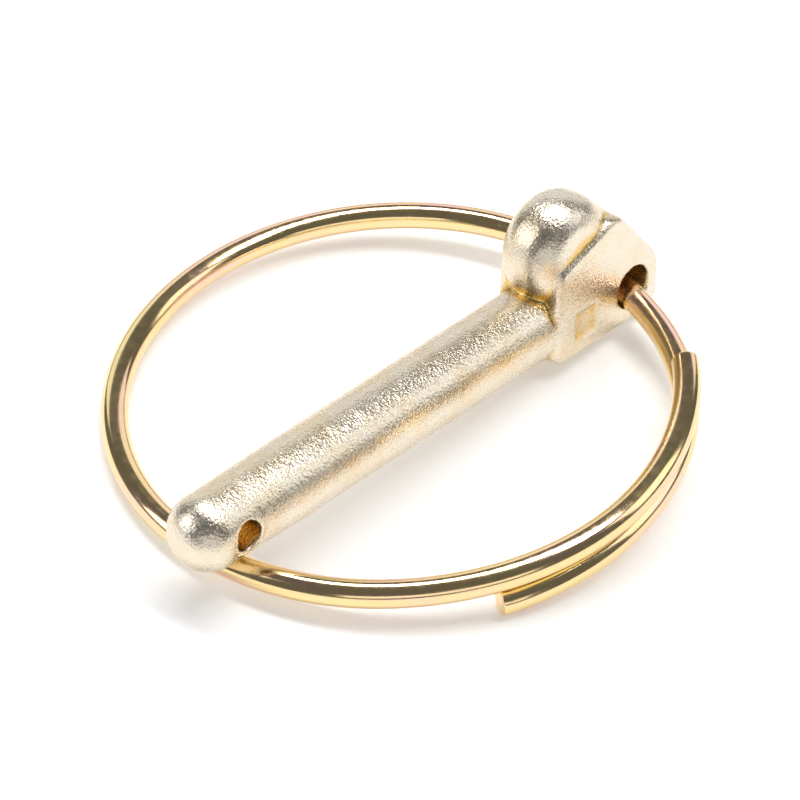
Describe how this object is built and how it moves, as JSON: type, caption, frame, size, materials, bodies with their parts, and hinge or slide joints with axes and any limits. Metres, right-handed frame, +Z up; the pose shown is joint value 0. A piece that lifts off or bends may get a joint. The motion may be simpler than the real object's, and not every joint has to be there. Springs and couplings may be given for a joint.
{
  "type": "wire lock pin",
  "caption": "Locking pin with a domed, cross-drilled shank, a lug-shaped cast head and a coiled wire ring that swings through the head.",
  "frame": {"origin": "centre of the object's footprint box, on the surface that it rests on", "axes": "+Z up, away from the surface it lies on; X along the shank as seen from above, from the tip towards the head; +Y to the left of that, so the near cheek faces -Y"},
  "size_m": [0.0816, 0.0736, 0.0223],
  "materials": {
    "cast_plated": "cast steel, pale yellow zinc plating, fine grain",
    "wire_plated": "drawn spring wire, bright yellow zinc plating"
  },
  "bodies": {
    "pin": {"pin_body": "cast_plated"},
    "ring": {"wire_ring": "wire_plated"}
  },
  "joints": [
    {"name": "ring_swing", "type": "hinge", "parent": "pin", "child": "ring", "pos_m": [0.03552, -0.00427, 0.00558], "axis": [0.0059, -0.9947, 0.1026], "range_deg": [0, 347]}
  ]
}
